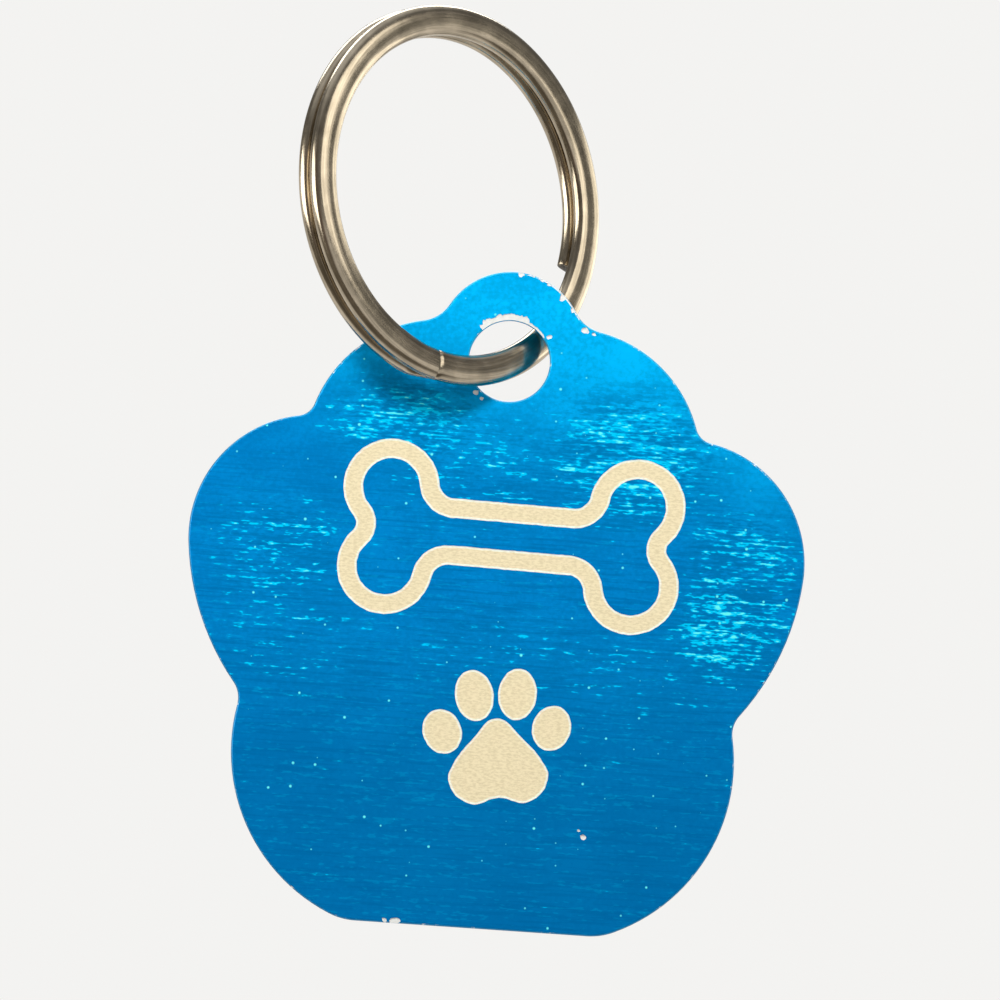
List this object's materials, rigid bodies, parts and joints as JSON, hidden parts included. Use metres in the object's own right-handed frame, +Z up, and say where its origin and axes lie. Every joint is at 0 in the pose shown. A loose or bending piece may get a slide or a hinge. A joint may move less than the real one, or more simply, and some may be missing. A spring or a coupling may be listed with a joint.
{
  "type": "pet id tag",
  "caption": "Paw-shaped flat metal pet tag with an ear and hole at the top, hanging from a split ring that clips to a collar's loop.",
  "frame": {"origin": "centre of the split ring, midway between its two coils", "axes": "+Z up as the tag hangs, +X to the right of the marked face, -Y out of the marked face; the ring leans against the upright plate, so its own axis is the ring_loop mount's"},
  "size_m": [0.038, 0.0172, 0.0565],
  "materials": {
    "blue_anodised": "satin",
    "nickel_steel": "polished"
  },
  "bodies": {
    "ring": {"split_ring": "nickel_steel"},
    "tag": {"tag_plate": "blue_anodised"}
  },
  "joints": [
    {"name": "tag_swing", "type": "hinge", "parent": "ring", "child": "tag", "pos_m": [0.00424, 0.00179, -0.00983], "axis": [0, -1, 0], "range_deg": [-95, 115]}
  ]
}
